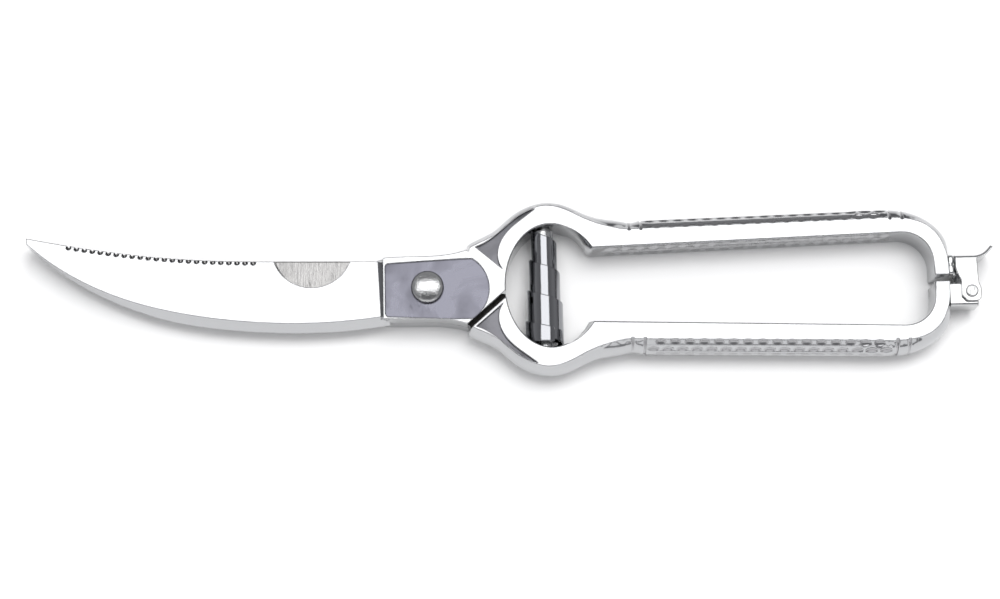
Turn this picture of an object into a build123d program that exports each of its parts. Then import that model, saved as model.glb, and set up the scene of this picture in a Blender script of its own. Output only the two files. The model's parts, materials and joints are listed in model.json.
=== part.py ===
from build123d import *
import math
import os

# Poultry shears, closed and latched, lying flat: blades towards -X, handles towards +X.
# Everything is drawn about the pivot axis, with z = 0 on the plane between the two halves, and is set
# on the table at the end. The forging of the upper handle is drawn first. The lower half is the same
# forging turned over, with the other blade.

# ---- overall sizes ----
THICK = 11.0                # handles, rings and pivot plates, face to face
HANDLE_END_X = 136.9        # milled seats on the handle ends, from the pivot
BLADE_TIP_X = -105.9        # tip of the front cutting edge, from the pivot
BLADE_THICK = 3.6           # each blade at its back

# ---- clearances and fits ----
FACE_GAP = 0.10             # running gap between the two halves
PIVOT_FIT = 0.05            # radial, upper half on the rivet shank
PIN_FIT = 0.05              # radial, latch lever on its pin
HEAD_GAP = 0.05             # under the rivet head and the pin heads
RELIEF_GAP = 1.5            # slot between a pivot plate and the other half's ring
CHEEK_GAP = 0.10            # between a lever cheek and a bracket ear
LEVER_GAP = 0.2             # between the lever and the plates and nose it closes over
SPRING_FIT = 0.35           # radial, peg inside the spring
SPRING_SEAT_GAP = 0.05      # spring end to the ring wall
SPOT_FIT = 0.4              # radial, spring inside the flat it stands on

# ---- ring and handle ----
HOLE_X, HOLE_A, HOLE_B = 32.4, 12.0, 16.4       # oval hole of the ring: centre and half axes
RING_WALL = 5.2                                 # ring beyond the top of the hole
GRIP_START_X = 56.0                             # the straight part of the handle
GRIP_TURN = 25.0                                # length of the turn at the handle's end
GRIP_IN_Y, GRIP_IN_END_Y = 9.7, 12.6            # inner line of a handle at its two ends
GRIP_OUT_Y, GRIP_OUT_END_Y = 14.8, 16.2         # outer line of a handle's flat face
RIM_WIDTH = 4.1                                 # flat face where the handle turns at its end
END_HALF_GAP = 0.9                              # half the gap between the handle ends
END_PULL_IN = 0.2                               # outline of the handle's end behind its milled seat
INNER_CORNER_R = 8.0
SEAT_TOP = 9.0                                  # height of the milled seat from the middle
GRIP_BULGE, RING_BULGE, END_BULGE = 3.2, 1.8, 2.0
BULGE_STEP = 0.03                               # the rounded side starts just under the flat face
BULGE_ROOT = 1.2                                # how far the rounded side reaches into the flat part
EDGE_ROUND = 0.3                                # inner edges of the handle and hole, eased for the fingers
CUSP_FLARE, CUSP_DEPTH = 1.9, 2.0               # sloped scoop where the hole runs out into the handle

# ---- pivot plate ----
PLATE_X, PLATE_Y = -11.6, 8.1                   # corner next to the blade
CORNER_X, CORNER_Y = 10.3, 9.9                  # shoulder where the plate meets the ring
NOSE_SLOPE = 41.2                               # of the plate's pointed end, degrees
PANEL_DEPTH, WEB_DEPTH = 0.4, 0.9               # sunk panel, sunk corner of the ring on both faces
PANEL_R = 9.6                                   # round end of the sunk panel
SHOULDER_WIDE, SHOULDER_NARROW = 1.7, 0.8       # slope between blade and plate, at its two ends

# ---- blades ----
EDGE_Y = 7.9                                    # front cutting edge beside the plate
EDGE_BEND, EDGE_BEND_Y = 0.354, 8.55            # where the edge starts to sweep up, share of the length
EDGE_SWEEP, EDGE_SWEEP_RISE = 0.683, 2.25       # a point of the sweep, and how far it is up from the bend
TIP_Y, TIP_LOW_Y = 15.95, 14.1                  # blunt tip
BACK_ROOT_Y = -8.9                              # back of a blade beside the plate
GRIND, REAR_GRIND = 0.35, 1.3                   # width of the ground bevels
BACK_SLOPE = 2.0                                # width of the sloping back
REAR_INSET = 0.5                                # rear cutting edge inside the front blade's back
REAR_RISE = 0.5                                 # rear blade's back beyond the front cutting edge
TAPER_LENGTH = 40.0                             # the sloping sides fade out over this length to the tip
BLADE_ROOT = 1.6                                # how far a blade reaches into the plate
NOTCH_X, NOTCH_Y, NOTCH_R, NOTCH_FLARE = -30.3, 11.6, 10.2, 0.5
TOOTH_PITCH, TOOTH_DEPTH = 2.12, 1.05
TOOTHED_SHARE, TOOTH_START = 0.86, 0.02         # of the swept edge
TOOTH_STEEP, TOOTH_LONG = 0.55, 0.75            # from a tooth's root to its two tips

# ---- pivot rivet ----
RIVET_D = 5.0
RIVET_HEAD_D, RIVET_HEAD_H = RIVET_D + 3.6, 2.3
DOME_R, DOME_EDGE_R = 12.5, 1.2                 # shallow dome with a well rounded edge
RIVET_SINK_D, RIVET_SINK_H = RIVET_D + 2.6, 1.5

# ---- volute spring and its pegs ----
SPRING_X = 30.6
SPRING_R = 5.4                                  # outermost turn, at the lower handle
SPRING_SMALL_R = SPRING_R - 2.05                # first turn, at the upper handle
SPRING_T, SPRING_W = 0.32, 8.5                  # strip thickness and width
SPRING_PITCH, SPRING_TURNS = 5.9, 4.4
SPRING_GROWTH = SPRING_T + 0.18                 # radius gained by each turn after the first
FIRST_TURN_CURL = 1.5                           # how fast the first turn draws in
FRONT_PHASE = 0.525                             # part of a turn before the strip first faces upwards
STEPS_PER_TURN = 16
STRIP_TOP_Y = 18.4                              # where the strip would begin if its end weren't ground
SEAT_TOP_Y, SEAT_LOW_Y = 15.5, -14.8            # flats in the ring walls
PEG_H, PEG_ROOT, PEG_OVERLAP = 3.0, 3.0, 1.0
PEG_STEP, LOW_PEG_EXTRA = 2.0, 1.2              # root thinner than the peg, lower peg thicker

# ---- latch ----
SHEET, BASE_T = 0.9, 1.2                        # sheet of the lever, plates on the handle ends
EAR_INSET = 1.9                                 # outer face of the bracket ears under the handle's face
EAR_T, BRACKET_WALL = 1.0, 1.0
PIN_X, PIN_Y, PIN_D = HANDLE_END_X + 5.6, -3.5, 2.2
PIN_HEAD_D, PIN_HEAD_H, PIN_PROUD = PIN_D + 1.1, 0.5, 0.1
BRACKET_TOP, BRACKET_LOW, EAR_REACH, EAR_R = -1.3, -7.2, 1.7, 1.9
KEEPER_LOW, KEEPER_TOP, KEEPER_CORNER, KEEPER_EDGE_R = 0.95, 6.3, 0.8, 0.4
NOSE_LOW, NOSE_TOP, NOSE_REACH, NOSE_INSET = 1.0, 3.6, 1.5, 1.3
LEVER_TOP, LEVER_FOOT, LEVER_REACH = 6.1, 2.6, 2.5
LEVER_CORNER, BEND_R = 1.0, 0.7                 # corners of the cheeks, outside of the bends
TAB_START, TAB_CURL_R, TAB_CURL_DEG, TAB_TIP = 5.3, 5.5, 50.0, 1.1
KEEPER_RIVET_D, KEEPER_RIVET_Y, KEEPER_SINK, KEEPER_SINK_H = 1.8, 3.6, 0.4, 0.6
BRACKET_RIVET_Y = -4.1
BRACKET_HEAD_GAP, BRACKET_HEAD_H, BRACKET_HEAD_R = 0.7, 0.7, 0.5
RIVET_SHORT = 0.6                               # latch rivets stop this far past the rim's inner side

# ---- sizes that follow from those above ----
HALF = THICK / 2
BLADE_LENGTH = PLATE_X - BLADE_TIP_X
EAR_Z = HALF - EAR_INSET
CHEEK_IN = EAR_Z + CHEEK_GAP
CHEEK_OUT = CHEEK_IN + SHEET
BRACKET_HEAD_D = 2 * (EAR_Z - EAR_T - BRACKET_HEAD_GAP)
BRACKET_RIVET_D = BRACKET_HEAD_D / 2
PLATE_OUT = HANDLE_END_X + BASE_T               # outer faces of the plates on the handle ends
RIM_INSIDE = HANDLE_END_X - RIM_WIDTH
POCKET_FLOOR = HALF - PANEL_DEPTH
SAFE = 1.0                                      # how far a cut runs past the body it cuts


def prism(face, z0, z1):
    """A flat outline made solid between two heights."""
    return extrude(Pos(0, 0, z0) * face, z1 - z0, dir=(0, 0, 1))


def box(x0, x1, y0, y1, z0, z1):
    return Pos((x0 + x1) / 2, (y0 + y1) / 2, (z0 + z1) / 2) * Box(x1 - x0, y1 - y0, z1 - z0)


def upright_rod(diameter, z0, z1, x=0.0, y=0.0):
    return Pos(x, y, (z0 + z1) / 2) * Cylinder(diameter / 2, z1 - z0)


def cross_rod(diameter, y0, y1):
    """Rod on the spring's axis, from one ring wall towards the other."""
    return Pos(SPRING_X, (y0 + y1) / 2, 0) * Rot(90, 0, 0) * Cylinder(diameter / 2, abs(y1 - y0))


def end_rod(diameter, x0, x1, y, z):
    """Rod along the handles, for the rivets in their ends."""
    return Pos((x0 + x1) / 2, y, z) * Rot(0, 90, 0) * Cylinder(diameter / 2, x1 - x0)


# ================= outline of the upper handle with its ring =================
shoulder = (CORNER_X + 0.9, CORNER_Y + 0.5)
grip_start = (GRIP_START_X, GRIP_OUT_Y)
grip_end = (HANDLE_END_X - GRIP_TURN, GRIP_OUT_END_Y)
grip_slope = (GRIP_OUT_END_Y - GRIP_OUT_Y) / (grip_end[0] - GRIP_START_X)
outline_end_x = HANDLE_END_X - END_PULL_IN
ring_top_y = HOLE_B + RING_WALL
ring_line = Spline(
    shoulder,
    (HOLE_X - 13.6, ring_top_y - 7.2),
    (HOLE_X - 8.0, ring_top_y - 2.7),
    (HOLE_X - 1.0, ring_top_y),
    (HOLE_X + 7.2, ring_top_y - 2.8),
    (HOLE_X + 15.2, GRIP_OUT_Y + 0.7),
    grip_start,
    tangents=((0.88, 0.47), (1.0, grip_slope)),
)
grip_line = Line(grip_start, grip_end)
turn_line = Spline(
    grip_end,
    (HANDLE_END_X - 11.9, GRIP_OUT_END_Y + 0.1),
    (HANDLE_END_X - 4.9, GRIP_OUT_END_Y - 2.3),
    (HANDLE_END_X - 1.4, SEAT_TOP),
    (outline_end_x, END_HALF_GAP),
    tangents=((1.0, grip_slope), (0.02, -1.0)),
)
inner_line = FilletPolyline(
    (HOLE_X + 8.6, GRIP_IN_Y),
    (outline_end_x - RIM_WIDTH, GRIP_IN_END_Y),
    (RIM_INSIDE, END_HALF_GAP),
    radius=INNER_CORNER_R,
)
end_line = Line(turn_line @ 1, inner_line @ 1)
through_hole = Polyline(inner_line @ 0, (HOLE_X, 0), (CORNER_X - 2.0, 0), shoulder)
arm_face = make_face([
    *ring_line.edges(), *grip_line.edges(), *turn_line.edges(),
    *end_line.edges(), *inner_line.edges(), *through_hole.edges(),
])


# ================= rounded outer side of the handle and ring =================
def side_section(line, at, bulge):
    """Half-round section standing across the outline, its flat side buried in the handle."""
    spot = line @ at
    along = line % at
    out = Vector(-along.Y, along.X, 0)
    half = HALF - BULGE_STEP
    # in this plane x points outwards and y runs along the thickness
    plane = Plane(origin=spot, x_dir=out, z_dir=along)
    outline = [
        *Polyline((0, half), (-BULGE_ROOT, half), (-BULGE_ROOT, -half), (0, -half)).edges(),
        *ThreePointArc((0, -half), (bulge, 0), (0, half)).edges(),
    ]
    return plane * make_face(outline)


ring_stops = [(0.0, 1.2), (0.12, 1.9), (0.25, 2.0), (0.4, RING_BULGE), (0.52, RING_BULGE), (0.66, 2.0),
              (0.78, 2.5), (0.9, 3.0), (1.0, GRIP_BULGE)]
turn_stops = [(0.0, GRIP_BULGE), (0.15, GRIP_BULGE), (0.3, 3.1), (0.45, 2.7), (0.6, 2.2), (0.75, END_BULGE),
              (1.0, END_BULGE)]
ring_side = loft([side_section(ring_line, at, bulge) for at, bulge in ring_stops])
grip_side = loft([side_section(grip_line, at, GRIP_BULGE) for at in (0, 1)], ruled=True)
turn_side = loft([side_section(turn_line, at, bulge) for at, bulge in turn_stops])

# ================= pivot plate =================
nose_dir = Vector(math.sin(math.radians(NOSE_SLOPE)), math.cos(math.radians(NOSE_SLOPE)), 0)
nose_x = CORNER_X + CORNER_Y / math.tan(math.radians(NOSE_SLOPE))
upper_side = Spline(
    (PLATE_X, PLATE_Y), (0, PLATE_Y + 0.25), (CORNER_X - 3.8, PLATE_Y + 0.8), (CORNER_X, CORNER_Y))
lower_side = mirror(upper_side, Plane.XZ)
plate_face = make_face([
    *upper_side.edges(), *lower_side.edges(),
    *Line((PLATE_X, PLATE_Y), (PLATE_X, -PLATE_Y)).edges(),
    *Polyline((CORNER_X, CORNER_Y), (nose_x, 0), (CORNER_X, -CORNER_Y)).edges(),
])
hole_face = Pos(HOLE_X, 0) * Ellipse(HOLE_A, HOLE_B)

# the other half's plate lies in this slot, which runs along the plate's point with a gap
slot_out = nose_dir * RELIEF_GAP
slot_run = Vector(-nose_dir.Y, nose_dir.X, 0) * 4.0
slot_top = Vector(CORNER_X, CORNER_Y, 0) + slot_out + slot_run
slot_low = Vector(nose_x, 0, 0) + slot_out - slot_run
slot_left = CORNER_X - 6.0
slot_face = make_face(Polyline(
    (slot_left, 0), (slot_left, CORNER_Y + 6.0), (slot_top.X, slot_top.Y),
    (slot_low.X, slot_low.Y), (nose_x - 8.0, slot_low.Y), (slot_left, 0),
))

arm = prism(arm_face, -HALF, HALF) + ring_side + grip_side + turn_side
arm -= box(HANDLE_END_X, HANDLE_END_X + END_BULGE + SAFE, -SAFE, SEAT_TOP, -HALF, HALF)
arm -= prism(slot_face, -HALF - SAFE, FACE_GAP / 2)
arm -= prism(hole_face, -HALF - SAFE, HALF + SAFE)
forging = arm + prism(plate_face - hole_face, FACE_GAP / 2, HALF)


def on_inner_side(edge):
    """True for the long edges of the flat faces round the hole and along the inside of the handle."""
    middle = edge @ 0.5
    on_face = abs(abs(middle.Z) - HALF) < 0.01
    on_hole = abs(((middle.X - HOLE_X) / HOLE_A) ** 2 + (middle.Y / HOLE_B) ** 2 - 1) < 0.02
    along_grip = HOLE_X + HOLE_A < middle.X < RIM_INSIDE + 0.1 and middle.Y < GRIP_IN_END_Y + 0.1
    return on_face and edge.length > 2.0 and (on_hole or along_grip)


forging = fillet(forging.edges().filter_by(on_inner_side), EDGE_ROUND)

# sunk panel of the pivot plate, its right end a large round
panel_low, panel_high = -PLATE_Y + 0.45, PLATE_Y - 1.55
panel_left, panel_right = PLATE_X + 0.5, CORNER_X + 7.7
panel_face = make_face(Polyline(
    (panel_left, panel_low), (CORNER_X - 3.3, panel_low - 0.9), (panel_right, panel_low - 0.9),
    (panel_right, panel_high + 1.0), (CORNER_X - 1.3, panel_high + 1.0), (panel_left, panel_high),
    (panel_left, panel_low),
))
round_x, round_y = CORNER_X - 3.7, -0.5
left_of_round = box(panel_left - SAFE, round_x, -CORNER_Y - SAFE, CORNER_Y + SAFE, -SAFE, SAFE)
panel_end = Pos(round_x, round_y) * Circle(PANEL_R) + left_of_round.faces().sort_by(Axis.Z)[-1].moved(
    Pos(0, 0, -SAFE))
panel = panel_face & panel_end
panel = fillet(panel.vertices().group_by(Axis.X)[0], 1.0)
forging -= prism(panel, POCKET_FLOOR, HALF + SAFE)

# sunk corner between the plate's point and the bright rim round the hole
rim_line = Spline((19.9, 4.4), (18.5, 8.4), (20.2, 13.4), (24.0, 17.2), (28.6, 20.7))
ring_edge = Spline(rim_line @ 1, (23.6, 18.3), (18.8, 14.3), (12.6, 10.6))
corner_sink = make_face([*rim_line.edges(), *ring_edge.edges(), *Line(ring_edge @ 1, rim_line @ 0).edges()])
for low in (HALF - WEB_DEPTH, -HALF - SAFE):
    forging -= prism(corner_sink, low, low + WEB_DEPTH + SAFE)

# sloped scoops on both faces where the hole runs out into the inside of the handle
flared_face = Pos(HOLE_X, 0) * Ellipse(HOLE_A + CUSP_FLARE, HOLE_B)
scoop = loft([Pos(0, 0, HALF) * flared_face, Pos(0, 0, HALF - CUSP_DEPTH) * hole_face], ruled=True)
scoop &= box(HOLE_X + 4.0, HOLE_X + 2 * HOLE_A, GRIP_IN_Y - 1.0, HOLE_B, 0, THICK)
forging -= scoop
forging -= mirror(scoop, Plane.XY)

# ================= blades =================
blade_root_x = PLATE_X + BLADE_ROOT
# lower side of a blade: share of its length from the plate, and height
back_shape = [(1.0, TIP_LOW_Y), (0.853, 3.6), (0.738, -2.0), (0.585, -6.9), (0.40, -9.7), (0.227, -10.6)]
back_curve = [(PLATE_X - share * BLADE_LENGTH, y) for share, y in back_shape]
back_curve.append((blade_root_x, BACK_ROOT_Y))


def back_points(inset):
    """Points along the lower side of a blade, moved inwards, less and less towards the tip."""
    moved = []
    for i, (x, y) in enumerate(back_curve):
        before = back_curve[max(i - 1, 0)]
        after = back_curve[min(i + 1, len(back_curve) - 1)]
        along = Vector(after[0] - before[0], after[1] - before[1]).normalized()
        step = inset * min(1.0, (x - BLADE_TIP_X) / TAPER_LENGTH)
        moved.append((x - along.Y * step, y + along.X * step))
    return moved


def edge_curves(inset, tip_inset, shorter=0.0):
    """Upper side of a blade: straight from the plate, then sweeping up to the tip."""
    bend = (PLATE_X - EDGE_BEND * BLADE_LENGTH, EDGE_BEND_Y - inset)
    tip = (BLADE_TIP_X + shorter, TIP_Y - tip_inset)
    middle = (PLATE_X - EDGE_SWEEP * BLADE_LENGTH, EDGE_BEND_Y + EDGE_SWEEP_RISE - (inset + tip_inset) / 2)
    slope = (EDGE_BEND_Y - EDGE_Y) / (EDGE_BEND * BLADE_LENGTH)
    straight = Line((blade_root_x, EDGE_Y - inset), bend)
    sweep_up = Spline(bend, middle, tip, tangents=((-1.0, slope), (-1.0, 0.21)))
    return straight, sweep_up


def blade_outline(edge_inset, tip_inset, back_inset, shorter=0.0):
    straight, sweep_up = edge_curves(edge_inset, tip_inset, shorter)
    low = back_points(back_inset)
    low[0] = (low[0][0] + shorter, low[0][1])
    return make_face([
        *straight.edges(), *sweep_up.edges(), *Line(sweep_up @ 1, low[0]).edges(),
        *Spline(*low).edges(), *Line(low[-1], straight @ 0).edges(),
    ])


front_blade = loft([
    Pos(0, 0, FACE_GAP / 2) * blade_outline(0.0, 0.0, 0.0),
    Pos(0, 0, BLADE_THICK) * blade_outline(GRIND, GRIND, BACK_SLOPE, 0.35),
], ruled=True)
rear_blade = loft([
    Pos(0, 0, -FACE_GAP / 2) * blade_outline(-REAR_RISE, 0.1, REAR_INSET, 0.5),
    Pos(0, 0, -BLADE_THICK) * blade_outline(BACK_SLOPE - REAR_RISE, 0.6, REAR_INSET + REAR_GRIND, 0.8),
], ruled=True)

# bone notch, its rim flared towards the outer face, and the saw teeth of the swept edge
notch = Pos(NOTCH_X, NOTCH_Y, BLADE_THICK / 2) * Cone(NOTCH_R, NOTCH_R + NOTCH_FLARE, BLADE_THICK + 2 * FACE_GAP)
swept_edge = edge_curves(0.0, 0.0)[1]
tooth_top = TOOTH_DEPTH / 2
tooth = make_face(Polyline(
    (-TOOTH_LONG, tooth_top), (TOOTH_STEEP, -TOOTH_DEPTH), (TOOTH_STEEP + 0.3, tooth_top), (-TOOTH_LONG, tooth_top)))
teeth = []
for i in range(int(TOOTHED_SHARE * swept_edge.length / TOOTH_PITCH)):
    at = TOOTH_START + i * TOOTH_PITCH / swept_edge.length
    spot = swept_edge @ at
    along = swept_edge % at
    turn = math.degrees(math.atan2(along.Y, along.X)) - 180
    teeth.append(prism(Pos(spot.X, spot.Y) * Rot(0, 0, turn) * tooth, -FACE_GAP, BLADE_THICK + FACE_GAP))
front_blade = front_blade - notch - teeth


def shoulder_slope(height):
    """Slope from the blade face up to the pivot plate, wider at the cutting edge side."""
    ends = []
    for y, wide in ((PLATE_Y - 0.3, SHOULDER_WIDE), (-PLATE_Y, SHOULDER_NARROW)):
        plane = Plane(origin=(PLATE_X, y, 0), x_dir=(1, 0, 0), z_dir=(0, -1, 0))
        ends.append(plane * make_face(Polyline((-wide, height), (0.1, height), (0.1, HALF), (-wide, height))))
    return loft(ends, ruled=True)


# ================= the two halves =================
slope_up = shoulder_slope(BLADE_THICK - 0.3)
upper_half = forging + front_blade + slope_up
lower_half = Rot(180, 0, 0) * forging + rear_blade + mirror(slope_up, Plane.XY)

# rivet hole: a running fit above, a tight one below that opens into the countersink of the tail
upper_half -= upright_rod(RIVET_D + 2 * PIVOT_FIT, -SAFE, HALF + SAFE)
rivet_tail = Pos(0, 0, -POCKET_FLOOR + RIVET_SINK_H / 2) * Cone(RIVET_SINK_D / 2, RIVET_D / 2, RIVET_SINK_H)
lower_half -= upright_rod(RIVET_D, -HALF - SAFE, SAFE) + rivet_tail

# ================= spring pegs, riveted into flats in the ring walls =================
peg_top_d = 2 * (SPRING_SMALL_R - SPRING_T - SPRING_FIT)
peg_low_d = peg_top_d + LOW_PEG_EXTRA
upper_half -= cross_rod(2 * (SPRING_SMALL_R + SPOT_FIT + 0.2), 0, SEAT_TOP_Y)
upper_half -= cross_rod(peg_top_d - PEG_STEP, 0, SEAT_TOP_Y + PEG_ROOT)
lower_half -= cross_rod(2 * (SPRING_R + SPOT_FIT), 0, SEAT_LOW_Y)
lower_half -= cross_rod(peg_low_d - PEG_STEP, 0, SEAT_LOW_Y - PEG_ROOT)
upper_peg = cross_rod(peg_top_d, SEAT_TOP_Y - PEG_H, SEAT_TOP_Y)
upper_peg += cross_rod(peg_top_d - PEG_STEP, SEAT_TOP_Y - PEG_OVERLAP, SEAT_TOP_Y + PEG_ROOT)
lower_peg = cross_rod(peg_low_d, SEAT_LOW_Y + PEG_H, SEAT_LOW_Y)
lower_peg += cross_rod(peg_low_d - PEG_STEP, SEAT_LOW_Y + PEG_OVERLAP, SEAT_LOW_Y - PEG_ROOT)

# ================= pivot rivet =================
head_z = POCKET_FLOOR + HEAD_GAP
rivet_head = upright_rod(RIVET_HEAD_D, head_z, head_z + RIVET_HEAD_H)
rivet_head &= Pos(0, 0, head_z + RIVET_HEAD_H - DOME_R) * Sphere(DOME_R)
rim_edges = rivet_head.edges().filter_by(lambda edge: edge.length > 0.9 * math.pi * RIVET_HEAD_D)
rivet_head = fillet(rim_edges.sort_by(Axis.Z)[-1], DOME_EDGE_R)
rivet_foot = upright_rod(RIVET_SINK_D, -POCKET_FLOOR - 0.2, -POCKET_FLOOR)
pivot_rivet = upright_rod(RIVET_D, -POCKET_FLOOR, head_z + 0.2) + rivet_head + rivet_tail + rivet_foot


# ================= volute spring, one strip wound wider with each turn =================
def strip_section(turns):
    outer = SPRING_R - SPRING_GROWTH * (SPRING_TURNS - turns)
    if turns < 1:
        outer -= (outer - SPRING_SMALL_R) * (1 - turns) ** FIRST_TURN_CURL
    inner = outer - SPRING_T
    angle = 2 * math.pi * (turns - FRONT_PHASE)
    top = STRIP_TOP_Y - SPRING_PITCH * turns
    corners = []
    for radius, y in ((inner, top), (outer, top), (outer, top - SPRING_W), (inner, top - SPRING_W)):
        corners.append((SPRING_X + radius * math.sin(angle), y, radius * math.cos(angle)))
    return Wire.make_polygon(corners, close=True)


steps = int(SPRING_TURNS * STEPS_PER_TURN)
strip = Part() + Solid.make_loft([strip_section(SPRING_TURNS * i / steps) for i in range(steps + 1)])
between_seats = box(
    SPRING_X - SPRING_R - SAFE, SPRING_X + SPRING_R + SAFE,
    SEAT_LOW_Y + SPRING_SEAT_GAP, SEAT_TOP_Y - SPRING_SEAT_GAP,
    -SPRING_R - SAFE, SPRING_R + SAFE,
)
volute_spring = strip & between_seats

# ================= keeper on the upper handle's end, held by two rivets =================
nose_z = EAR_Z - NOSE_INSET
nose_face = make_face(Polyline(
    (PLATE_OUT - 0.1, NOSE_LOW), (PLATE_OUT + NOSE_REACH - 0.3, NOSE_LOW + 0.5),
    (PLATE_OUT + NOSE_REACH, NOSE_TOP), (PLATE_OUT - 0.1, NOSE_TOP - 0.55), (PLATE_OUT - 0.1, NOSE_LOW),
))
latch_keeper = box(HANDLE_END_X, PLATE_OUT, KEEPER_LOW, KEEPER_TOP, -CHEEK_OUT, CHEEK_OUT)
latch_keeper = fillet(latch_keeper.edges().filter_by(Axis.X), KEEPER_CORNER)
latch_keeper = fillet(latch_keeper.edges().group_by(Axis.X)[-1], KEEPER_EDGE_R)
latch_keeper += prism(nose_face, -nose_z, nose_z)

keeper_rivet_z = CHEEK_OUT - KEEPER_RIVET_D / 2 - 0.15
keeper_rivets = []
for z in (keeper_rivet_z, -keeper_rivet_z):
    shank = end_rod(KEEPER_RIVET_D, RIM_INSIDE + RIVET_SHORT, PLATE_OUT, KEEPER_RIVET_Y, z)
    flush_head = Pos(PLATE_OUT - KEEPER_SINK_H / 2, KEEPER_RIVET_Y, z) * Rot(0, 90, 0) * Cone(
        KEEPER_RIVET_D / 2, KEEPER_RIVET_D / 2 + KEEPER_SINK, KEEPER_SINK_H)
    keeper_rivets.append((shank + flush_head).solid())
for rivet in keeper_rivets:
    latch_keeper -= rivet
    upper_half -= rivet

# ================= bracket on the lower handle's end, held by one rivet =================
ear_end = PIN_X + EAR_REACH
latch_bracket = box(HANDLE_END_X, ear_end, BRACKET_LOW, BRACKET_TOP, -EAR_Z, EAR_Z)
ear_corner = latch_bracket.edges().filter_by(Axis.Z).sort_by(lambda edge: edge.center().X + edge.center().Y)[-1]
latch_bracket = fillet(ear_corner, EAR_R)
latch_bracket = fillet(latch_bracket.edges().filter_by(Axis.X).group_by(Axis.Y)[0], 0.7)
latch_bracket -= box(
    PLATE_OUT, ear_end + SAFE, BRACKET_LOW + BRACKET_WALL, BRACKET_TOP + SAFE, -EAR_Z + EAR_T, EAR_Z - EAR_T)
latch_bracket -= upright_rod(PIN_D, -HALF, HALF, PIN_X, PIN_Y)
bracket_rivet = end_rod(BRACKET_RIVET_D, RIM_INSIDE + RIVET_SHORT, PLATE_OUT + 0.1, BRACKET_RIVET_Y, 0)
lower_half -= bracket_rivet
latch_bracket -= bracket_rivet
bracket_rivet += end_rod(BRACKET_HEAD_D, PLATE_OUT, PLATE_OUT + BRACKET_HEAD_H, BRACKET_RIVET_Y, 0)
bracket_rivet = fillet(bracket_rivet.edges().group_by(Axis.X)[-1], BRACKET_HEAD_R)

# ================= latch lever, one stamped sheet: two cheeks, a bar and a curled tab =================
bar_left = PLATE_OUT + LEVER_GAP
bar_low = NOSE_TOP + LEVER_GAP
tab_low = LEVER_TOP - SHEET
foot_y = PIN_Y - LEVER_FOOT
toe_x = PIN_X + LEVER_REACH
heel_x = PIN_X - LEVER_FOOT
cheek_face = make_face(Polyline(
    (bar_left, LEVER_TOP), (bar_left, bar_low), (bar_left + 1.1, PIN_Y + 4.0), (heel_x, PIN_Y + 3.0),
    (heel_x, foot_y + 1.5), (heel_x + 1.3, foot_y), (toe_x - 0.4, foot_y), (toe_x, PIN_Y - 0.9),
    (toe_x, PIN_Y + 0.7), (toe_x - 0.6, PIN_Y + 2.5), (toe_x - 0.8, LEVER_TOP), (bar_left, LEVER_TOP),
))
cheek_face = fillet(cheek_face.vertices().sort_by(Axis.Y)[:4], LEVER_CORNER)
cheek = prism(cheek_face, CHEEK_IN, CHEEK_OUT)
bar = box(bar_left, bar_left + SHEET, bar_low, LEVER_TOP, -CHEEK_OUT, CHEEK_OUT)
curl_x = PLATE_OUT + TAB_START
under = JernArc((curl_x, tab_low), (1, 0), TAB_CURL_R + SHEET / 2, TAB_CURL_DEG)
over = JernArc((curl_x, LEVER_TOP), (1, 0), TAB_CURL_R - SHEET / 2, TAB_CURL_DEG)
reach = Vector(math.cos(math.radians(TAB_CURL_DEG)), math.sin(math.radians(TAB_CURL_DEG)), 0) * TAB_TIP
tab_face = make_face([
    *Line((bar_left, tab_low), under @ 0).edges(), *under.edges(),
    *Polyline(under @ 1, under @ 1 + reach, over @ 1 + reach, over @ 1).edges(), *over.edges(),
    *Polyline(over @ 0, (bar_left, LEVER_TOP), (bar_left, tab_low)).edges(),
])
latch_lever = cheek + mirror(cheek, Plane.XY) + bar + prism(tab_face, -CHEEK_OUT, CHEEK_OUT)


def on_bend(edge):
    """True for the outer edges where the cheeks turn into the bar and the tab."""
    middle = edge @ 0.5
    on_side = abs(abs(middle.Z) - CHEEK_OUT) < 0.01
    return on_side and (abs(middle.Y - LEVER_TOP) < 0.01 or abs(middle.X - bar_left) < 0.01)


latch_lever = fillet(latch_lever.edges().filter_by(on_bend), BEND_R)
latch_lever -= upright_rod(PIN_D + 2 * PIN_FIT, -HALF, HALF, PIN_X, PIN_Y)

# ================= latch pin, headed at both ends =================
head_low = CHEEK_OUT + HEAD_GAP
pin_head = upright_rod(PIN_HEAD_D, head_low, head_low + PIN_HEAD_H, PIN_X, PIN_Y)
pin_head = fillet(pin_head.edges().group_by(Axis.Z)[-1], 0.3)
pin_end = CHEEK_OUT + PIN_PROUD
latch_pin = upright_rod(PIN_D, -pin_end, pin_end, PIN_X, PIN_Y) + pin_head + mirror(pin_head, Plane.XY)

# ================= set on the table and save =================
nodes = {
    "upper_handle_half": upper_half.solids(),
    "lower_handle_half": lower_half.solids(),
    "pivot_rivet": pivot_rivet.solids(),
    "volute_spring": volute_spring.solids(),
    "upper_spring_peg": upper_peg.solids(),
    "lower_spring_peg": lower_peg.solids(),
    "latch_keeper": latch_keeper.solids(),
    "keeper_rivets": keeper_rivets,
    "latch_bracket": latch_bracket.solids(),
    "bracket_rivet": bracket_rivet.solids(),
    "latch_lever": latch_lever.solids(),
    "latch_pin": latch_pin.solids(),
}
everything = Compound(children=[Compound(list(solids)) for solids in nodes.values()])
extent = everything.bounding_box()
place = Pos(-(extent.min.X + extent.max.X) / 2, -(extent.min.Y + extent.max.Y) / 2, -extent.min.Z)
os.makedirs("parts", exist_ok=True)
for name, solids in nodes.items():
    export_step(place * Compound(list(solids)), f"parts/{name}.step")
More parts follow.
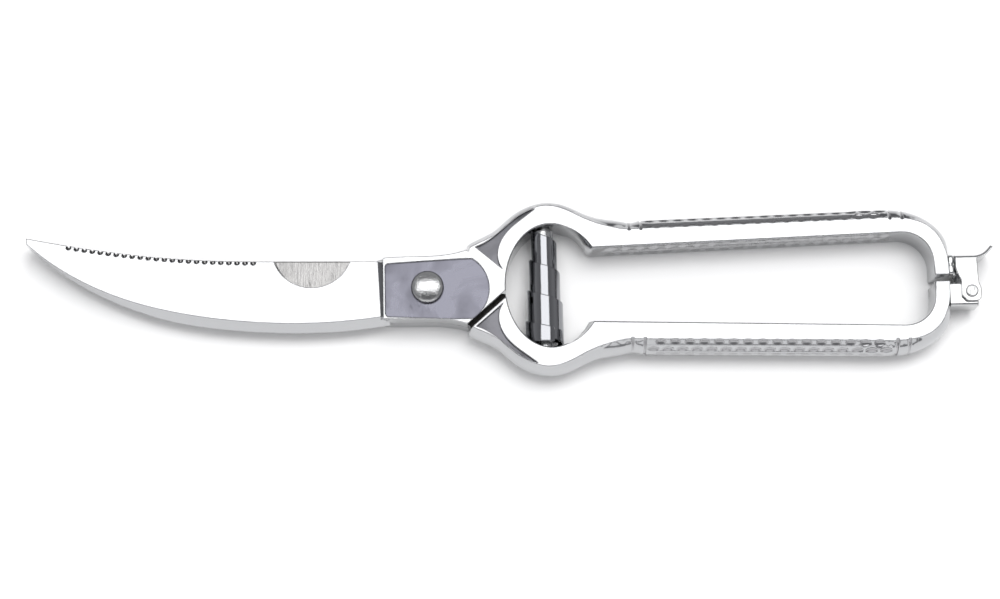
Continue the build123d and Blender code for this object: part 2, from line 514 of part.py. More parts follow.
print(f"overall {extent.size.X:.2f} x {extent.size.Y:.2f} x {extent.size.Z:.2f} mm, placed by {place.position}")
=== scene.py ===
import json
import math

import bmesh
import bpy
from mathutils import Matrix, Vector

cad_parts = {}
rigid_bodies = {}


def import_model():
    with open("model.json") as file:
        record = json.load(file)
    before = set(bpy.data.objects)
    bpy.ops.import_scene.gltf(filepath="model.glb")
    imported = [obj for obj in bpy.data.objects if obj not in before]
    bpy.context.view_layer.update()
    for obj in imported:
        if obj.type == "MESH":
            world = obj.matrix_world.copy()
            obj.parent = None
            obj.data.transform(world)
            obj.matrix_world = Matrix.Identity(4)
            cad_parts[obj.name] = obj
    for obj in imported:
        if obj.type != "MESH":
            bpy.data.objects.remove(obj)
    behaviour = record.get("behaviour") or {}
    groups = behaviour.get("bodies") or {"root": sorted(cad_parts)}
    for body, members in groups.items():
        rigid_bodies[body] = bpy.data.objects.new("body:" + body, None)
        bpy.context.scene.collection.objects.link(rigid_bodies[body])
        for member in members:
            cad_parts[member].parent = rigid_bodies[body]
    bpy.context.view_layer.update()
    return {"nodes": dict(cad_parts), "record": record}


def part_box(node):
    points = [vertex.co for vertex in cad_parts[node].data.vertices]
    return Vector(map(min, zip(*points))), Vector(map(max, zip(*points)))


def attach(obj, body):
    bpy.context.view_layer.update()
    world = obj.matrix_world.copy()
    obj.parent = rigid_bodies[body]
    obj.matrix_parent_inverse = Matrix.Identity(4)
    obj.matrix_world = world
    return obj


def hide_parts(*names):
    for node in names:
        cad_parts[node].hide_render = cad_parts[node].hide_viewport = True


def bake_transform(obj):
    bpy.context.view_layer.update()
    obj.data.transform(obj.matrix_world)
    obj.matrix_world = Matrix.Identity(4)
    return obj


# ---------------------------------------------------------------------------------------------
# The shears as they lie closed on the table. The pivot axis stands upright through the rivet,
# and every place below is measured from it, on the plane where the two halves meet.
# ---------------------------------------------------------------------------------------------
for stray in list(bpy.data.objects):
    bpy.data.objects.remove(stray, do_unlink=True)
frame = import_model()
MM = 0.001
joints = {joint["name"]: joint for joint in frame["record"]["behaviour"]["joints"]}
pivot = Vector(joints["shears_open"]["pos_m"])
half_low, half_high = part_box("upper_handle_half")
HALF_THICK = (half_high[2] - half_low[2]) / 2


def from_pivot(x, y, z=0.0):
    """A point given in millimetres from the pivot, in the table's frame."""
    return Vector((pivot.x + x * MM, pivot.y + y * MM, HALF_THICK + z * MM))


# ---------------------------------------------------------------------------------------------
# Camera over the near edge of the table, looking down on the flat faces and a little under the
# handles' outer sides, with the shears turned about one degree against the frame.
# ---------------------------------------------------------------------------------------------
eye = from_pivot(16.3, -136.85, 621.6)
aim = from_pivot(18.92, -2.45, 0.0)
turn = math.radians(1.12)
right = Vector((math.cos(turn), -math.sin(turn), 0.0))
ahead = (aim - eye).normalized()
above = right.cross(ahead).normalized()
right = ahead.cross(above).normalized()
table_camera = bpy.data.objects.new("table_camera", bpy.data.cameras.new("table_camera"))
facing = Matrix((right, above, -ahead)).transposed().to_4x4()
table_camera.matrix_world = Matrix.Translation(eye) @ facing
table_camera.data.sensor_width = 36.0
table_camera.data.sensor_fit = "HORIZONTAL"
table_camera.data.lens = 86.9
table_camera.data.clip_start = 0.01
table_camera.data.clip_end = 20.0
bpy.context.scene.collection.objects.link(table_camera)
bpy.context.scene.camera = table_camera
bpy.context.scene.view_settings.view_transform = "Standard"


# ---------------------------------------------------------------------------------------------
# Plated steel. The forgings are belt-polished and then nickel-chrome plated, so the surface is a
# mirror with faint long polishing lines, hairline scratches from the drawer and finger smears.
# ---------------------------------------------------------------------------------------------
def add_node(tree, kind, values=None, **settings):
    node = tree.nodes.new(kind)
    for name, value in settings.items():
        setattr(node, name, value)
    for name, value in (values or {}).items():
        node.inputs[name].default_value = value
    return node


def build_handled_metal():
    """Scratches, smears and polishing lines of one metal surface, from its own coordinates."""
    tree = bpy.data.node_groups.new("handled_metal", "ShaderNodeTree")
    socket = tree.interface.new_socket
    socket(name="Metal", in_out="INPUT", socket_type="NodeSocketColor")
    socket(name="Smear Tint", in_out="INPUT", socket_type="NodeSocketColor")
    socket(name="Polish", in_out="INPUT", socket_type="NodeSocketFloat")
    socket(name="Smear", in_out="INPUT", socket_type="NodeSocketFloat")
    socket(name="Scratch", in_out="INPUT", socket_type="NodeSocketFloat")
    socket(name="Grain", in_out="INPUT", socket_type="NodeSocketFloat")
    socket(name="Grain Direction", in_out="INPUT", socket_type="NodeSocketVector")
    socket(name="Edge Round", in_out="INPUT", socket_type="NodeSocketFloat")
    socket(name="Color", in_out="OUTPUT", socket_type="NodeSocketColor")
    socket(name="Roughness", in_out="OUTPUT", socket_type="NodeSocketFloat")
    socket(name="Normal", in_out="OUTPUT", socket_type="NodeSocketVector")
    link = tree.links.new
    put = add_node(tree, "NodeGroupInput")
    out = add_node(tree, "NodeGroupOutput")
    place = add_node(tree, "ShaderNodeTexCoord")

    # long polishing lines, stretched along the belt's direction
    stretch = add_node(tree, "ShaderNodeVectorMath", operation="MULTIPLY")
    link(place.outputs["Object"], stretch.inputs[0])
    link(put.outputs["Grain Direction"], stretch.inputs[1])
    lines = add_node(tree, "ShaderNodeTexNoise", {"Scale": 1.0, "Detail": 4.0, "Roughness": 0.6})
    link(stretch.outputs[0], lines.inputs["Vector"])

    # hairline scratches: thin level lines of a stretched, slightly bent noise, in two directions
    hair_masks = []
    for angle, scale in ((0.5, (260.0, 22.0, 60.0)), (-0.9, (190.0, 16.0, 60.0))):
        lay = add_node(tree, "ShaderNodeMapping")
        lay.inputs["Rotation"].default_value = (0.0, 0.0, angle)
        lay.inputs["Scale"].default_value = scale
        link(place.outputs["Object"], lay.inputs["Vector"])
        hair = add_node(tree, "ShaderNodeTexNoise", {"Scale": 1.0, "Detail": 2.0, "Distortion": 0.3})
        link(lay.outputs[0], hair.inputs["Vector"])
        level = add_node(tree, "ShaderNodeMath", {1: 0.5}, operation="SUBTRACT")
        link(hair.outputs["Fac"], level.inputs[0])
        size = add_node(tree, "ShaderNodeMath", operation="ABSOLUTE")
        link(level.outputs[0], size.inputs[0])
        thin = add_node(tree, "ShaderNodeMapRange", {"From Max": 0.006, "To Min": 1.0, "To Max": 0.0})
        link(size.outputs[0], thin.inputs["Value"])
        hair_masks.append(thin)
    hairs = add_node(tree, "ShaderNodeMath", operation="MAXIMUM")
    link(hair_masks[0].outputs[0], hairs.inputs[0])
    link(hair_masks[1].outputs[0], hairs.inputs[1])
    patches = add_node(tree, "ShaderNodeTexNoise", {"Scale": 70.0, "Detail": 2.0})
    link(place.outputs["Object"], patches.inputs["Vector"])
    where = add_node(tree, "ShaderNodeMapRange", {"From Min": 0.5, "From Max": 0.66})
    link(patches.outputs["Fac"], where.inputs["Value"])
    scratched = add_node(tree, "ShaderNodeMath", operation="MULTIPLY")
    link(hairs.outputs[0], scratched.inputs[0])
    link(where.outputs[0], scratched.inputs[1])
    strength = add_node(tree, "ShaderNodeMath", operation="MULTIPLY")
    link(scratched.outputs[0], strength.inputs[0])
    link(put.outputs["Scratch"], strength.inputs[1])

    # finger smears, soft and wide
    smear_noise = add_node(tree, "ShaderNodeTexNoise",
                           {"Scale": 45.0, "Detail": 5.0, "Roughness": 0.55, "Distortion": 0.8})
    link(place.outputs["Object"], smear_noise.inputs["Vector"])
    smear_mask = add_node(tree, "ShaderNodeMapRange", {"From Min": 0.42, "From Max": 0.72})
    link(smear_noise.outputs["Fac"], smear_mask.inputs["Value"])
    smear = add_node(tree, "ShaderNodeMath", operation="MULTIPLY")
    link(smear_mask.outputs[0], smear.inputs[0])
    link(put.outputs["Smear"], smear.inputs[1])

    # roughness: polish + smear + scratches
    rough_a = add_node(tree, "ShaderNodeMath", operation="ADD")
    link(put.outputs["Polish"], rough_a.inputs[0])
    link(smear.outputs[0], rough_a.inputs[1])
    rough_b = add_node(tree, "ShaderNodeMath", {1: 0.25}, operation="MULTIPLY_ADD")
    link(strength.outputs[0], rough_b.inputs[0])
    link(rough_a.outputs[0], rough_b.inputs[2])
    link(rough_b.outputs[0], out.inputs["Roughness"])

    # colour: the metal, a little duller under smears
    tint = add_node(tree, "ShaderNodeMix", data_type="RGBA")
    link(smear.outputs[0], tint.inputs["Factor"])
    link(put.outputs["Metal"], tint.inputs["A"])
    link(put.outputs["Smear Tint"], tint.inputs["B"])
    link(tint.outputs["Result"], out.inputs["Color"])

    # relief: polishing lines and scratches, over corners worn slightly round
    grain = add_node(tree, "ShaderNodeMath", operation="MULTIPLY")
    link(lines.outputs["Fac"], grain.inputs[0])
    link(put.outputs["Grain"], grain.inputs[1])
    relief = add_node(tree, "ShaderNodeMath", operation="SUBTRACT")
    link(grain.outputs[0], relief.inputs[0])
    link(strength.outputs[0], relief.inputs[1])
    bump = add_node(tree, "ShaderNodeBump", {"Strength": 1.0, "Distance": 0.000004})
    eased = add_node(tree, "ShaderNodeBevel", samples=6)
    link(put.outputs["Edge Round"], eased.inputs["Radius"])
    link(eased.outputs[0], bump.inputs["Normal"])
    link(relief.outputs[0], bump.inputs["Height"])
    link(bump.outputs[0], out.inputs["Normal"])
    return tree


handled_metal = build_handled_metal()


def metal_finish(name, metal, polish, smear, scratch, grain, direction, edge_round=0.00045):
    """One steel finish: the handled surface in a plain metallic shader."""
    finish = bpy.data.materials.new(name)
    finish.use_nodes = True
    tree = finish.node_tree
    tree.nodes.clear()
    shader = add_node(tree, "ShaderNodeBsdfPrincipled", {"Metallic": 1.0})
    end = add_node(tree, "ShaderNodeOutputMaterial")
    surface = add_node(tree, "ShaderNodeGroup", node_tree=handled_metal)
    surface.inputs["Metal"].default_value = (*metal, 1.0)
    surface.inputs["Smear Tint"].default_value = (*[0.86 * part for part in metal], 1.0)
    surface.inputs["Polish"].default_value = polish
    surface.inputs["Smear"].default_value = smear
    surface.inputs["Scratch"].default_value = scratch
    surface.inputs["Grain"].default_value = grain
    surface.inputs["Grain Direction"].default_value = direction
    surface.inputs["Edge Round"].default_value = edge_round
    surface.name = "surface"
    tree.links.new(surface.outputs["Color"], shader.inputs["Base Color"])
    tree.links.new(surface.outputs["Roughness"], shader.inputs["Roughness"])
    tree.links.new(surface.outputs["Normal"], shader.inputs["Normal"])
    tree.links.new(shader.outputs[0], end.inputs[0])
    return finish


ALONG_BLADE = (120.0, 6000.0, 6000.0)      # grain runs along the shears
ACROSS_BLADE = (4200.0, 90.0, 900.0)       # grain runs across them
ROUND_ABOUT = (900.0, 900.0, 900.0)

# ---------------------------------------------------------------------------------------------
# The two forged halves, each a blade, pivot plate, half ring and handle in one piece. The
# handles are rolled with oval dimples on the round outer side and on the flat inner side, and a
# pair of cross grooves closes each end of the dimples.
# ---------------------------------------------------------------------------------------------
bright_plating = metal_finish(
    "bright_plating", metal=(0.49, 0.495, 0.505), polish=0.045, smear=0.10, scratch=0.6, grain=0.8,
    direction=ALONG_BLADE)
dimple_plating = metal_finish(
    "dimple_plating", metal=(0.42, 0.42, 0.43), polish=0.20, smear=0.12, scratch=0.2, grain=1.0,
    direction=ROUND_ABOUT, edge_round=0.0001)
panel_plating = metal_finish(
    "panel_plating", metal=(0.165, 0.165, 0.195), polish=0.26, smear=0.30, scratch=0.6, grain=2.0,
    direction=ROUND_ABOUT)
web_plating = metal_finish(
    "web_plating", metal=(0.17, 0.17, 0.185), polish=0.34, smear=0.30, scratch=0.4, grain=14.0,
    direction=ROUND_ABOUT)
# painted shade: a near-black metal for the saw-tooth walls, the hollows at their roots and the
# bone-notch walls, so they read dark as faces turned from the lamp
cut_wall_shade = metal_finish(
    "cut_wall_shade", metal=(0.16, 0.16, 0.165), polish=0.30, smear=0.05, scratch=0.4, grain=6.0,
    direction=ROUND_ABOUT, edge_round=0.0001)
GROUND_TONE, GREASE_TONE = (0.42, 0.415, 0.41), (0.020, 0.019, 0.018)
ground_steel = metal_finish(
    "ground_steel", metal=GROUND_TONE, polish=0.28, smear=0.05, scratch=0.8, grain=30.0,
    direction=ACROSS_BLADE)

# the grinding stops at the pivot plate, where the two halves rub in a dark film of old grease
ground_tree = ground_steel.node_tree
ground_place = add_node(ground_tree, "ShaderNodeTexCoord")
ground_split = add_node(ground_tree, "ShaderNodeSeparateXYZ")
film_edge = add_node(ground_tree, "ShaderNodeMapRange",
                     {"From Min": from_pivot(-14.0, 0).x, "From Max": from_pivot(-11.0, 0).x})
film = add_node(ground_tree, "ShaderNodeMix", data_type="RGBA")
film.inputs["A"].default_value = (*GROUND_TONE, 1.0)
film.inputs["B"].default_value = (*GREASE_TONE, 1.0)
ground_tree.links.new(ground_place.outputs["Object"], ground_split.inputs[0])
ground_tree.links.new(ground_split.outputs["X"], film_edge.inputs["Value"])
ground_tree.links.new(film_edge.outputs[0], film.inputs["Factor"])
ground_tree.links.new(film.outputs["Result"], ground_tree.nodes["surface"].inputs["Metal"])

PANEL_LEVEL, WEB_LEVEL = 5.1, 4.6            # floors of the sunk panel and corner, from the middle
HANDLE_IN_LINE = ((41.0, 9.7), (132.6, 12.6))       # inner side of the upper handle
HANDLE_OUT_LINE = ((56.0, 14.8), (111.9, 16.2))     # edge of its flat face
LINE_END = 118.0                                    # past here the edge runs level
BULGE, BULGE_HALF = 3.2, 5.47                       # the half-round side, out from that edge
DIMPLE_PITCH, DIMPLE_END = 3.8, 121.0
# half length, half width, half height and lift of the ball that presses each oval
OUTER_OVAL, INNER_OVAL = (1.95, 1.25, 0.80, 0.58), (2.0, 1.9, 0.9, 0.58)
ROOT_HOLLOW = (0.80, 0.60, 0.80, 0.30)
TEETH_FROM, TEETH_TO, TOOTH_REACH, TOOTH_STEP = -98.0, -44.0, 0.9, 0.4
OUTER_START, OUTER_ROWS = 58.6, (-5.05, -3.15, -1.05, 1.05, 3.15, 5.05)
INNER_START, INNER_ROWS = 48.5, (-3.3, 0.0, 3.3)
UPPER_GROOVES, LOWER_GROOVES = (53.2, 56.3, 121.9, 125.1), (53.3, 56.5, 122.3, 125.5)
GROOVE_HALF, GROOVE_DEEP, GROOVE_REACH = 0.32, 0.38, 5.9
ALONG_X, ACROSS_Y, UPWARDS = Vector((1, 0, 0)), Vector((0, 1, 0)), Vector((0, 0, 1))


def handle_edge(line, x):
    """How far a handle's line stands from the pivot's line at a place along it."""
    (x0, y0), (x1, y1) = line
    return y0 + (x - x0) * ((y1 - y0) / (x1 - x0))


def bulge_at(z):
    return BULGE * (1 - (z / BULGE_HALF) ** 2)


def cap_of_ellipsoid(points, faces, centre, along, across, outwards, oval):
    """Adds a closed ellipsoid whose lower part presses an oval dimple."""
    long, wide, deep, sink = (size * MM for size in oval)
    rings, sides = 6, 14
    first = len(points)
    points.append(centre + outwards * (sink + deep))
    for ring in range(1, rings):
        polar = math.pi * ring / rings
        for side in range(sides):
            around = 2 * math.pi * side / sides
            points.append(
                centre
                + outwards * (sink + deep * math.cos(polar))
                + along * (long * math.sin(polar) * math.cos(around))
                + across * (wide * math.sin(polar) * math.sin(around)))
    points.append(centre + outwards * (sink - deep))
    last = len(points) - 1
    for side in range(sides):
        after = (side + 1) % sides
        faces.append((first, first + 1 + side, first + 1 + after))
        faces.append((last, last - sides + after, last - sides + side))
        for ring in range(rings - 2):
            row = first + 1 + ring * sides
            faces.append((row + side, row + sides + side, row + sides + after, row + after))


def tooth_roots(mesh):
    """Where the roots of the saw teeth meet the outer face of the front blade."""
    rim = []
    for vertex in mesh.vertices:
        place = (vertex.co - from_pivot(0, 0)) / MM
        if TEETH_FROM < place.x < TEETH_TO and place.y > 6.0 and place.z > 1.0:
            rim.append(place)
    rim.sort(key=lambda place: place.x)
    roots = []
    for place in rim:
        beside = [other.y - place.y for other in rim if abs(other.x - place.x) < TOOTH_REACH]
        if min(beside) >= -0.001 and max(beside) > TOOTH_STEP:
            roots.append(place)
    return roots


def cut_groove(points, faces, groove_x, side_sign):
    """Adds the closed curved bar that cuts one cross groove."""
    edge = handle_edge(HANDLE_OUT_LINE, min(groove_x, LINE_END))
    first, steps = len(points), 20
    for x in (groove_x - GROOVE_HALF, groove_x + GROOVE_HALF):
        for lift in (-GROOVE_DEEP, 1.2):
            for step in range(steps + 1):
                z = GROOVE_REACH * (2 * step / steps - 1)
                points.append(from_pivot(x, side_sign * (edge + bulge_at(z) + lift), z))
    size = steps + 1
    low_a, high_a, low_b, high_b = (first + size * k for k in range(4))
    for step in range(steps):
        faces.append((low_a + step, high_a + step, high_a + step + 1, low_a + step + 1))
        faces.append((low_b + step, low_b + step + 1, high_b + step + 1, high_b + step))
        faces.append((low_a + step, low_a + step + 1, low_b + step + 1, low_b + step))
        faces.append((high_a + step, high_b + step, high_b + step + 1, high_a + step + 1))
    faces.append((low_a, low_b, high_b, high_a))
    faces.append((low_a + steps, high_a + steps, high_b + steps, low_b + steps))


def rolling_tool(side_sign, roots):
    """All dimples and cross grooves of one handle, as one closed mesh. side_sign is 1 above."""
    points, faces = [], []
    # the saw's wheel leaves a small hollow at the root of each tooth
    for root in roots:
        spot = from_pivot(root.x - 0.1, root.y + 0.25, root.z)
        cap_of_ellipsoid(points, faces, spot, ALONG_X, ACROSS_Y, UPWARDS, ROOT_HOLLOW)
    tooth_faces = len(faces)
    # outer, half-round side: staggered rows round the curve
    for number, z in enumerate(OUTER_ROWS):
        lean = math.atan2(BULGE * 2 * z / BULGE_HALF**2, 1.0)
        outwards = Vector((0, side_sign * math.cos(lean), math.sin(lean)))
        across = Vector((0, -side_sign * math.sin(lean), math.cos(lean)))
        x = OUTER_START + (number % 2) * DIMPLE_PITCH / 2
        while x < DIMPLE_END:
            y = handle_edge(HANDLE_OUT_LINE, min(x, LINE_END)) + bulge_at(z)
            spot = from_pivot(x, side_sign * y, z)
            cap_of_ellipsoid(points, faces, spot, ALONG_X, across, outwards, OUTER_OVAL)
            x += DIMPLE_PITCH
    # flat inner side: three rows of longer ovals linked like a chain
    for number, z in enumerate(INNER_ROWS):
        x = INNER_START + (number % 2) * DIMPLE_PITCH / 2
        while x < DIMPLE_END:
            spot = from_pivot(x, side_sign * handle_edge(HANDLE_IN_LINE, x), z)
            cap_of_ellipsoid(points, faces, spot, ALONG_X, UPWARDS, -side_sign * ACROSS_Y, INNER_OVAL)
            x += DIMPLE_PITCH
    for groove_x in UPPER_GROOVES if side_sign > 0 else LOWER_GROOVES:
        cut_groove(points, faces, groove_x, side_sign)
    mesh = bpy.data.meshes.new("rolling_tool")
    mesh.from_pydata(points, [], faces)
    tidy = bmesh.new()
    tidy.from_mesh(mesh)
    bmesh.ops.recalc_face_normals(tidy, faces=tidy.faces)
    tidy.to_mesh(mesh)
    tidy.free()
    mesh.materials.append(dimple_plating)
    mesh.materials.append(cut_wall_shade)
    # the root hollows take the same near-black metal, painted shade
    for face in mesh.polygons[:tooth_faces]:
        face.material_index = 1
    tool = bpy.data.objects.new("rolling_tool", mesh)
    bpy.context.scene.collection.objects.link(tool)
    return tool


def finish_of(face):
    """Which finish a face of a forging has, from where it lies and which way it looks."""
    middle = (face.center - from_pivot(0, 0)) / MM
    level = abs(middle.z)
    if abs(face.normal.z) > 0.99:
        if abs(level - PANEL_LEVEL) < 0.03 and middle.x < 21.0:
            return panel_plating
        if abs(level - WEB_LEVEL) < 0.03 and middle.x > 10.0:
            return web_plating
        if level < 0.1:
            return ground_steel
        return bright_plating
    # the walls of the saw teeth and of the bone notch are cut after plating; their near-black colour is
    # painted shade, for walls that turn away from the lamp
    cut_wall = level > 0.1 and middle.x < -24.0 and face.normal.y > -0.2 and abs(face.normal.z) < 0.9
    if cut_wall and (middle.y > 7.0 or (middle.x > -50.0 and middle.y > 1.0)):
        return cut_wall_shade
    return bright_plating


def forged_half(name, node, body, side_sign):
    """The forging with its rolled handle and each kind of surface in its own finish."""
    mesh = bpy.data.meshes.new_from_object(frame["nodes"][node])
    mesh.name = name
    clean = bmesh.new()
    clean.from_mesh(mesh)
    bmesh.ops.remove_doubles(clean, verts=clean.verts, dist=1e-7)
    clean.to_mesh(mesh)
    clean.free()
    half = bpy.data.objects.new(name, mesh)
    bpy.context.scene.collection.objects.link(half)
    mesh.materials.clear()
    for finish in (bright_plating, panel_plating, web_plating, ground_steel, cut_wall_shade):
        mesh.materials.append(finish)
    tool = rolling_tool(side_sign, tooth_roots(mesh) if side_sign > 0 else [])
    press = half.modifiers.new("rolled_dimples", "BOOLEAN")
    press.operation = "DIFFERENCE"
    press.solver = "MANIFOLD"
    press.object = tool
    press.material_mode = "TRANSFER"
    rolled = bpy.data.meshes.new_from_object(half.evaluated_get(bpy.context.evaluated_depsgraph_get()))
    half.modifiers.clear()
    half.data = rolled
    rolled.name = name
    bpy.data.objects.remove(tool, do_unlink=True)
    slots = {material.name: number for number, material in enumerate(rolled.materials)}
    for face in rolled.polygons:
        if face.material_index in (slots[dimple_plating.name], slots[cut_wall_shade.name]):
            continue
        face.material_index = slots[finish_of(face).name]
    rolled.shade_smooth()
    rolled.set_sharp_from_angle(angle=math.radians(24))
    # every edge beside a flat face is crisp
    edges_of = bmesh.new()
    edges_of.from_mesh(rolled)
    for edge in edges_of.edges:
        flats = [abs(face.normal.z) > 0.9998 for face in edge.link_faces]
        if any(flats) and not all(flats):
            edge.smooth = False
    edges_of.to_mesh(rolled)
    edges_of.free()
    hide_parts(node)
    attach(half, body)
    return half


upper_forging = forged_half("upper_forging", "upper_handle_half", "upper_half", 1)
lower_forging = forged_half("lower_forging", "lower_handle_half", "lower_half", -1)

# ---------------------------------------------------------------------------------------------
# The pivot rivet, a solid steel rivet with a polished dome above and its tail spread into a
# countersink below. The latch's rivets and pin and the two spring pegs are turned from the same rod.
# ---------------------------------------------------------------------------------------------
rivet_polish = metal_finish(
    "rivet_polish", metal=(0.55, 0.555, 0.56), polish=0.20, smear=0.20, scratch=0.5, grain=24.0,
    direction=ROUND_ABOUT)
for node in ("pivot_rivet", "upper_spring_peg", "lower_spring_peg",
             "keeper_rivets", "bracket_rivet", "latch_pin"):
    frame["nodes"][node].material_slots[0].material = rivet_polish

# ---------------------------------------------------------------------------------------------
# The volute spring, one hardened steel strip wound on its flat round the two pegs, so that each
# turn slides inside the next. It is bright rolled strip, with its two ends ground level.
# ---------------------------------------------------------------------------------------------
spring_strip = metal_finish(
    "spring_strip", metal=(0.30, 0.305, 0.32), polish=0.055, smear=0.06, scratch=0.4, grain=1.2,
    direction=(6000.0, 200.0, 6000.0))
SPRING_X, SPRING_R, STRIP_T, STRIP_W = 30.6, 5.4, 0.32, 11.0
FIRST_R = SPRING_R - 2.25                               # where the strip starts, at the small end
STRIP_PITCH, STRIP_TURNS, STRIP_GROWTH = 8.2, 3.6, 0.62
STRIP_TOP, SEAT_HIGH, SEAT_LOW = 18.4, 15.45, -14.75    # the strip before grinding, and the ring's walls
FRONT_PHASE = 0.525                                     # turns before the strip first faces upwards


def wind_spring():
    steps_round, rows = 72, 10
    count = int(STRIP_TURNS * steps_round)
    mesh = bpy.data.meshes.new("wound_spring")
    work = bmesh.new()
    loops = []
    for step in range(count + 1):
        turns = STRIP_TURNS * step / count
        outer = SPRING_R - STRIP_GROWTH * (STRIP_TURNS - turns)
        if turns < 1:
            outer -= (outer - FIRST_R) * (1 - turns) ** 1.5
        angle = 2 * math.pi * (turns - FRONT_PHASE)
        top = STRIP_TOP - STRIP_PITCH * turns
        section = []
        outside = [(outer, k / rows) for k in range(rows + 1)]
        inside = [(outer - STRIP_T, k / rows) for k in range(rows, -1, -1)]
        for radius, down in outside + inside:
            y = min(SEAT_HIGH, max(SEAT_LOW, top - STRIP_W * down))
            section.append(work.verts.new(
                from_pivot(SPRING_X + radius * math.sin(angle), y, radius * math.cos(angle))))
        loops.append(section)
    size = len(loops[0])
    for before, after in zip(loops, loops[1:]):
        for k in range(size):
            work.faces.new((before[k], before[(k + 1) % size], after[(k + 1) % size], after[k]))
    work.faces.new(loops[0][::-1])
    work.faces.new(loops[-1])
    bmesh.ops.recalc_face_normals(work, faces=work.faces)
    bmesh.ops.dissolve_degenerate(work, edges=work.edges, dist=1e-7)
    work.to_mesh(mesh)
    work.free()
    mesh.materials.append(spring_strip)
    mesh.shade_smooth()
    mesh.set_sharp_from_angle(angle=math.radians(35))
    return bpy.data.objects.new("wound_spring", mesh)


wound_spring = wind_spring()
bpy.context.scene.collection.objects.link(wound_spring)
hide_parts("volute_spring")
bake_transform(wound_spring)

# ---------------------------------------------------------------------------------------------
# The latch at the handle ends: a keeper riveted to the upper handle, a bracket riveted to the
# lower one, and a lever bent from one sheet that turns on the bracket's pin. All are plated.
# ---------------------------------------------------------------------------------------------
latch_plating = metal_finish(
    "latch_plating", metal=(0.55, 0.555, 0.56), polish=0.08, smear=0.12, scratch=0.8, grain=1.6,
    direction=(300.0, 3000.0, 3000.0))
for node in ("latch_keeper", "latch_bracket", "latch_lever"):
    frame["nodes"][node].material_slots[0].material = latch_plating

# ---------------------------------------------------------------------------------------------
# The table: a plain white sheet of paper that the shears lie on. A wide lamp overhead is what the flat
# faces mirror, a card in front lights the lower sides, and a large soft lamp lights the sheet.
# ---------------------------------------------------------------------------------------------
white_sheet = bpy.data.materials.new("white_sheet")
white_sheet.use_nodes = True
sheet_shader = white_sheet.node_tree.nodes["Principled BSDF"]
# painted reflection: for glossy rays only, the sheet behind the shears is painted dark, so the steel
# mirrors a dark room there while the camera sees the sheet white
sheet_tree = white_sheet.node_tree
sheet_place = add_node(sheet_tree, "ShaderNodeTexCoord")
sheet_reach = add_node(sheet_tree, "ShaderNodeSeparateXYZ")
sheet_fade = add_node(sheet_tree, "ShaderNodeMapRange",
                      {"From Min": 0.026, "From Max": 0.06})
sheet_rays = add_node(sheet_tree, "ShaderNodeLightPath")
sheet_reflection_dark = add_node(sheet_tree, "ShaderNodeMath", operation="MULTIPLY")
sheet_tone = add_node(sheet_tree, "ShaderNodeMix", data_type="RGBA")
sheet_tone.inputs["A"].default_value = (0.90, 0.90, 0.90, 1.0)
sheet_tone.inputs["B"].default_value = (0.10, 0.10, 0.105, 1.0)
sheet_tree.links.new(sheet_place.outputs["Object"], sheet_reach.inputs[0])
sheet_tree.links.new(sheet_reach.outputs["Y"], sheet_fade.inputs["Value"])
sheet_tree.links.new(sheet_fade.outputs[0], sheet_reflection_dark.inputs[0])
sheet_tree.links.new(sheet_rays.outputs["Is Glossy Ray"], sheet_reflection_dark.inputs[1])
sheet_tree.links.new(sheet_reflection_dark.outputs[0], sheet_tone.inputs["Factor"])
sheet_tree.links.new(sheet_tone.outputs["Result"], sheet_shader.inputs["Base Color"])
sheet_shader.inputs["Roughness"].default_value = 0.6
bpy.ops.mesh.primitive_plane_add(size=6.0, location=(0.0, 0.0, -0.05 * MM))
table_sheet = bpy.context.object
table_sheet.name = "table_sheet"
table_sheet.data.materials.append(white_sheet)


def soft_lamp(name, place, towards, wide, deep, power):
    lamp = bpy.data.lights.new(name, "AREA")
    lamp.shape = "RECTANGLE"
    lamp.size, lamp.size_y = wide, deep
    lamp.energy = power
    holder = bpy.data.objects.new(name, lamp)
    holder.location = place
    holder.rotation_mode = "QUATERNION"
    holder.rotation_quaternion = (Vector(towards) - Vector(place)).to_track_quat("-Z", "Y")
    bpy.context.scene.collection.objects.link(holder)
    return holder


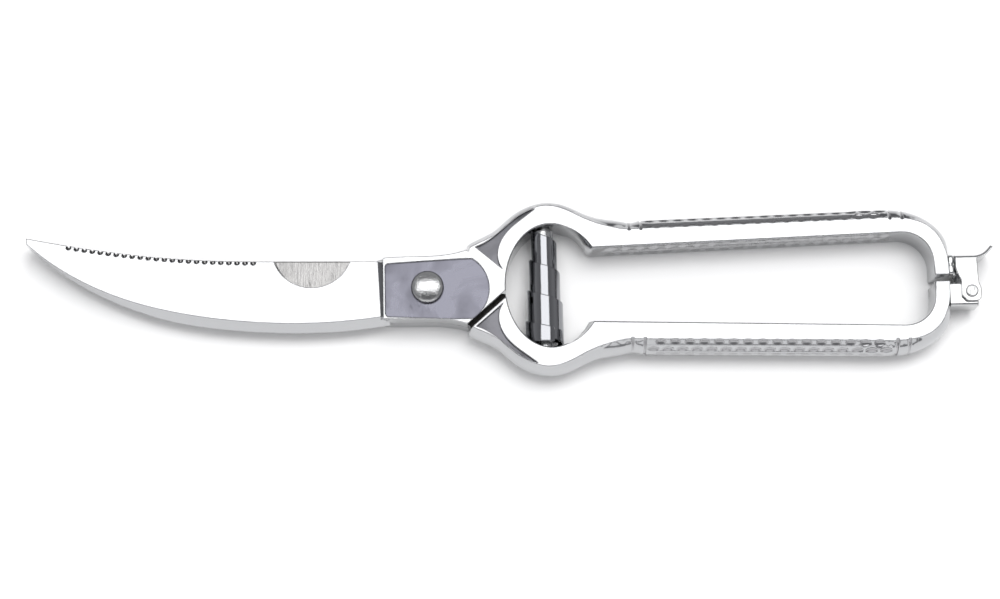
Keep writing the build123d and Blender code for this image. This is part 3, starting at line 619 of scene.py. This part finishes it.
soft_lamp("overhead_lamp", (0.0, 0.22, 1.0), (0.0, 0.22, 0.0), 0.95, 0.42, 3.4)
soft_lamp("front_card", (0.0, -1.2, 0.55), (0.0, 0.0, 0.1), 1.8, 0.7, 3.0)
sheet_lamp = soft_lamp("sheet_lamp", (0.30, 0.45, 1.1), (0.0, 0.0, 0.0), 1.0, 1.0, 9.5)
sheet_lamp.visible_glossy = False

# the room: grey walls, dim towards the ceiling, and plain white where it is looked at straight
room = bpy.data.worlds.new("room")
room.use_nodes = True
room_tree = room.node_tree
room_tree.nodes.clear()
direction = add_node(room_tree, "ShaderNodeTexCoord")
height = add_node(room_tree, "ShaderNodeSeparateXYZ")
room_tree.links.new(direction.outputs["Generated"], height.inputs[0])
walls = add_node(room_tree, "ShaderNodeValToRGB")
walls.color_ramp.elements[0].position = 0.0
walls.color_ramp.elements[0].color = (0.30, 0.30, 0.31, 1.0)
walls.color_ramp.elements[1].position = 1.0
walls.color_ramp.elements[1].color = (0.10, 0.10, 0.105, 1.0)
for high, tone in ((0.40, 0.40), (0.80, 0.28)):
    step_up = walls.color_ramp.elements.new(high)
    step_up.color = (tone, tone, tone + 0.01, 1.0)
room_tree.links.new(height.outputs["Z"], walls.inputs["Fac"])
reflected = add_node(room_tree, "ShaderNodeBackground")
room_tree.links.new(walls.outputs["Color"], reflected.inputs["Color"])
looked_at = add_node(room_tree, "ShaderNodeBackground", {"Color": (0.93, 0.93, 0.93, 1.0)})
rays = add_node(room_tree, "ShaderNodeLightPath")
choice = add_node(room_tree, "ShaderNodeMixShader")
room_end = add_node(room_tree, "ShaderNodeOutputWorld")
fill = add_node(room_tree, "ShaderNodeBackground", {"Color": (0.60, 0.60, 0.61, 1.0)})
unseen = add_node(room_tree, "ShaderNodeMixShader")
room_tree.links.new(rays.outputs["Is Diffuse Ray"], unseen.inputs[0])
room_tree.links.new(reflected.outputs[0], unseen.inputs[1])
room_tree.links.new(fill.outputs[0], unseen.inputs[2])
room_tree.links.new(rays.outputs["Is Camera Ray"], choice.inputs[0])
room_tree.links.new(unseen.outputs[0], choice.inputs[1])
room_tree.links.new(looked_at.outputs[0], choice.inputs[2])
room_tree.links.new(choice.outputs[0], room_end.inputs[0])
bpy.context.scene.world = room
